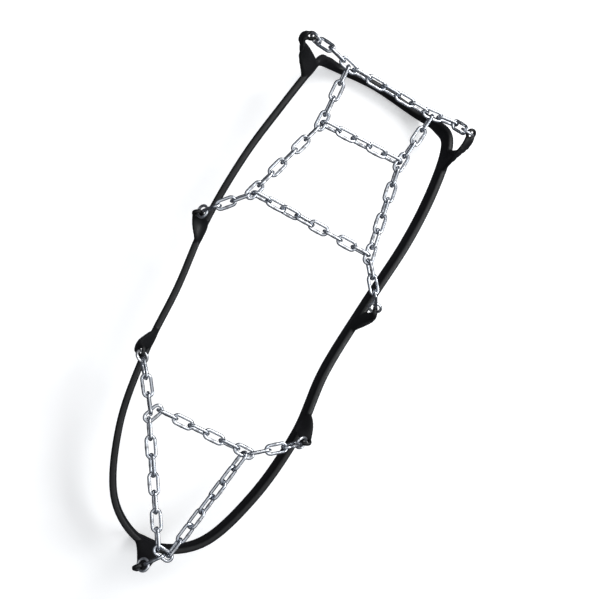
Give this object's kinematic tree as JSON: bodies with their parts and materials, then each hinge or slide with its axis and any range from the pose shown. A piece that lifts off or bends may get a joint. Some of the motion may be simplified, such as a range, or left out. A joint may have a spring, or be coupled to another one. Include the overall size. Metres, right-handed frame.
{
  "type": "shoe ice cleat",
  "caption": "Pull-on ice cleats: a net of steel link chain for under a shoe sole, hung by rings from the lugs of a stretchy rubber harness.",
  "frame": {"origin": "on the surface that the cleats stand on, under the middle of their outline", "axes": "+Y toward the toe, +X toward the wearer's right as seen with the sole up, +Z out of the sole through the chain net; the shoe that wears it would be sole up"},
  "size_m": [0.1226, 0.3032, 0.0615],
  "materials": {
    "rubber": "satin moulded black rubber",
    "chain_steel": "bright zinc-plated welded wire",
    "ring_steel": "plain bright steel wire"
  },
  "bodies": {
    "harness": {"rubber_harness": "rubber"},
    "front_net": {"junction_toe_left": "chain_steel", "junction_toe_right": "chain_steel", "junction_mid_left": "chain_steel", "junction_mid_right": "chain_steel", "junction_ball_left": "chain_steel", "junction_ball_right": "chain_steel"},
    "heel_net": {"junction_heel_left": "chain_steel", "junction_heel_right": "chain_steel", "junction_rear": "chain_steel"},
    "drop_toe_left": {"ring_toe_left": "ring_steel", "drop_link_toe_left": "chain_steel"},
    "branch_toe_left": {"link_toe_left_1": "chain_steel"},
    "drop_toe_right": {"ring_toe_right": "ring_steel", "drop_link_toe_right": "chain_steel"},
    "branch_toe_right": {"link_toe_right_1": "chain_steel"},
    "drop_ball_left": {"ring_ball_left": "ring_steel", "drop_link_ball_left": "chain_steel"},
    "branch_ball_left": {"link_ball_left_1": "chain_steel", "link_ball_left_2": "chain_steel"},
    "drop_ball_right": {"ring_ball_right": "ring_steel", "drop_link_ball_right": "chain_steel"},
    "branch_ball_right": {"link_ball_right_1": "chain_steel", "link_ball_right_2": "chain_steel"},
    "drop_heel_left": {"ring_heel_left": "ring_steel", "drop_link_heel_left": "chain_steel"},
    "branch_heel_left": {"link_heel_left_1": "chain_steel", "link_heel_left_2": "chain_steel"},
    "drop_heel_right": {"ring_heel_right": "ring_steel", "drop_link_heel_right": "chain_steel"},
    "branch_heel_right": {"link_heel_right_1": "chain_steel", "link_heel_right_2": "chain_steel"},
    "drop_rear": {"ring_rear": "ring_steel", "drop_link_rear": "chain_steel"},
    "strand_toe_cross": {"chain_toe_cross": "chain_steel"},
    "strand_left_upper": {"chain_left_upper": "chain_steel"},
    "strand_right_upper": {"chain_right_upper": "chain_steel"},
    "strand_mid_cross": {"chain_mid_cross": "chain_steel"},
    "strand_left_lower": {"chain_left_lower": "chain_steel"},
    "strand_right_lower": {"chain_right_lower": "chain_steel"},
    "strand_ball_cross": {"chain_ball_cross": "chain_steel"},
    "strand_heel_cross": {"chain_heel_cross": "chain_steel"},
    "strand_heel_left": {"chain_heel_left": "chain_steel"},
    "strand_heel_right": {"chain_heel_right": "chain_steel"}
  },
  "joints": [
    {"name": "front_net_lift", "type": "slide", "parent": "harness", "child": "front_net", "axis": [0, 0, 1], "range_m": [0, 0.002]},
    {"name": "heel_net_tip", "type": "hinge", "parent": "harness", "child": "heel_net", "pos_m": [0.00227, -0.13841, 0.058], "axis": [1, 0, 0], "range_deg": [0, 1.69]},
    {"name": "drop_swing_toe_left", "type": "hinge", "parent": "harness", "child": "drop_toe_left", "pos_m": [-0.04359, 0.14445, 0.0513], "axis": [-0.2628, -0.9649, 0], "range_deg": [-7.23, 0]},
    {"name": "branch_bend_toe_left", "type": "hinge", "parent": "front_net", "child": "branch_toe_left", "pos_m": [-0.02744, 0.14005, 0.058], "axis": [-0.2628, -0.9649, 0], "range_deg": [0, 29.73]},
    {"name": "drop_swing_toe_right", "type": "hinge", "parent": "harness", "child": "drop_toe_right", "pos_m": [0.05441, 0.13975, 0.052], "axis": [-0.1111, 0.9938, 0], "range_deg": [-6.42, 0]},
    {"name": "branch_bend_toe_right", "type": "hinge", "parent": "front_net", "child": "branch_toe_right", "pos_m": [0.03645, 0.13774, 0.058], "axis": [-0.1111, 0.9938, 0], "range_deg": [0, 27.05]},
    {"name": "drop_swing_ball_left", "type": "hinge", "parent": "harness", "child": "drop_ball_left", "pos_m": [-0.05639, 0.03405, 0.0464], "axis": [0.7318, -0.6816, 0], "range_deg": [-17.54, 0]},
    {"name": "branch_bend_ball_left", "type": "hinge", "parent": "front_net", "child": "branch_ball_left", "pos_m": [-0.04099, 0.05058, 0.058], "axis": [0.7318, -0.6816, 0], "range_deg": [0, 16.01]},
    {"name": "drop_swing_ball_right", "type": "hinge", "parent": "harness", "child": "drop_ball_right", "pos_m": [0.05111, 0.03055, 0.0482], "axis": [0.7555, 0.6551, 0], "range_deg": [-15.36, 0]},
    {"name": "branch_bend_ball_right", "type": "hinge", "parent": "front_net", "child": "branch_ball_right", "pos_m": [0.03511, 0.04899, 0.058], "axis": [0.7555, 0.6551, 0], "range_deg": [0, 14.88]},
    {"name": "drop_swing_heel_left", "type": "hinge", "parent": "harness", "child": "drop_heel_left", "pos_m": [-0.05199, -0.04895, 0.052], "axis": [-0.8339, -0.5519, 0], "range_deg": [-10.92, 0]},
    {"name": "branch_bend_heel_left", "type": "hinge", "parent": "heel_net", "child": "branch_heel_left", "pos_m": [-0.03651, -0.07235, 0.058], "axis": [-0.8339, -0.5519, 0], "range_deg": [0, 13.5]},
    {"name": "drop_swing_heel_right", "type": "hinge", "parent": "harness", "child": "drop_heel_right", "pos_m": [0.04561, -0.05275, 0.0518], "axis": [-0.5833, 0.8122, 0], "range_deg": [-11.23, 0]},
    {"name": "branch_bend_heel_right", "type": "hinge", "parent": "heel_net", "child": "branch_heel_right", "pos_m": [0.02288, -0.06908, 0.058], "axis": [-0.5833, 0.8122, 0], "range_deg": [0, 13.53]},
    {"name": "drop_swing_rear", "type": "hinge", "parent": "harness", "child": "drop_rear", "pos_m": [-0.00299, -0.14615, 0.0524], "axis": [0.8271, -0.5621, 0], "range_deg": [-2, 1]},
    {"name": "roll_toe_cross", "type": "hinge", "parent": "front_net", "child": "strand_toe_cross", "pos_m": [-0.01694, 0.13778, 0.058], "axis": [0.9998, -0.0211, 0], "range_deg": [-10, 10]},
    {"name": "roll_left_upper", "type": "hinge", "parent": "front_net", "child": "strand_left_upper", "pos_m": [-0.02226, 0.13625, 0.058], "axis": [0.0093, -1, 0], "range_deg": [-10, 10]},
    {"name": "roll_right_upper", "type": "hinge", "parent": "front_net", "child": "strand_right_upper", "pos_m": [0.03074, 0.13479, 0.058], "axis": [-0.142, -0.9899, 0], "range_deg": [-10, 10]},
    {"name": "roll_mid_cross", "type": "hinge", "parent": "front_net", "child": "strand_mid_cross", "pos_m": [-0.0198, 0.10459, 0.058], "axis": [0.9998, 0.02, 0], "range_deg": [-10, 10]},
    {"name": "roll_left_lower", "type": "hinge", "parent": "front_net", "child": "strand_left_lower", "pos_m": [-0.02291, 0.09997, 0.058], "axis": [-0.327, -0.945, 0], "range_deg": [-10, 10]},
    {"name": "roll_right_lower", "type": "hinge", "parent": "front_net", "child": "strand_right_lower", "pos_m": [0.02668, 0.10046, 0.058], "axis": [0.1379, -0.9904, 0], "range_deg": [-10, 10]},
    {"name": "roll_ball_cross", "type": "hinge", "parent": "front_net", "child": "strand_ball_cross", "pos_m": [-0.03642, 0.05385, 0.058], "axis": [0.9999, -0.0145, 0], "range_deg": [-10, 10]},
    {"name": "roll_heel_cross", "type": "hinge", "parent": "heel_net", "child": "strand_heel_cross", "pos_m": [-0.03085, -0.07043, 0.058], "axis": [1, 0.0004, 0], "range_deg": [-10, 10]},
    {"name": "roll_heel_left", "type": "hinge", "parent": "heel_net", "child": "strand_heel_left", "pos_m": [-0.03441, -0.07805, 0.058], "axis": [0.5102, -0.8601, 0], "range_deg": [-10, 10]},
    {"name": "roll_heel_right", "type": "hinge", "parent": "heel_net", "child": "strand_heel_right", "pos_m": [0.01846, -0.07266, 0.058], "axis": [-0.1954, -0.9807, 0], "range_deg": [-10, 10]}
  ],
  "couplings": [
    {"joint": "drop_swing_toe_left", "follows": "front_net_lift", "rad_per_m": -58.717},
    {"joint": "branch_bend_toe_left", "follows": "front_net_lift", "rad_per_m": 255.06},
    {"joint": "drop_swing_toe_right", "follows": "front_net_lift", "rad_per_m": -51.705},
    {"joint": "branch_bend_toe_right", "follows": "front_net_lift", "rad_per_m": 231.69},
    {"joint": "drop_swing_ball_left", "follows": "front_net_lift", "rad_per_m": -148.69},
    {"joint": "branch_bend_ball_left", "follows": "front_net_lift", "rad_per_m": 135.31},
    {"joint": "drop_swing_ball_right", "follows": "front_net_lift", "rad_per_m": -129.69},
    {"joint": "branch_bend_ball_right", "follows": "front_net_lift", "rad_per_m": 125.48},
    {"joint": "drop_swing_heel_left", "follows": "heel_net_tip", "ratio": -6.1606},
    {"joint": "branch_bend_heel_left", "follows": "heel_net_tip", "ratio": 7.6866},
    {"joint": "drop_swing_heel_right", "follows": "heel_net_tip", "ratio": -6.3452},
    {"joint": "branch_bend_heel_right", "follows": "heel_net_tip", "ratio": 7.7019}
  ]
}
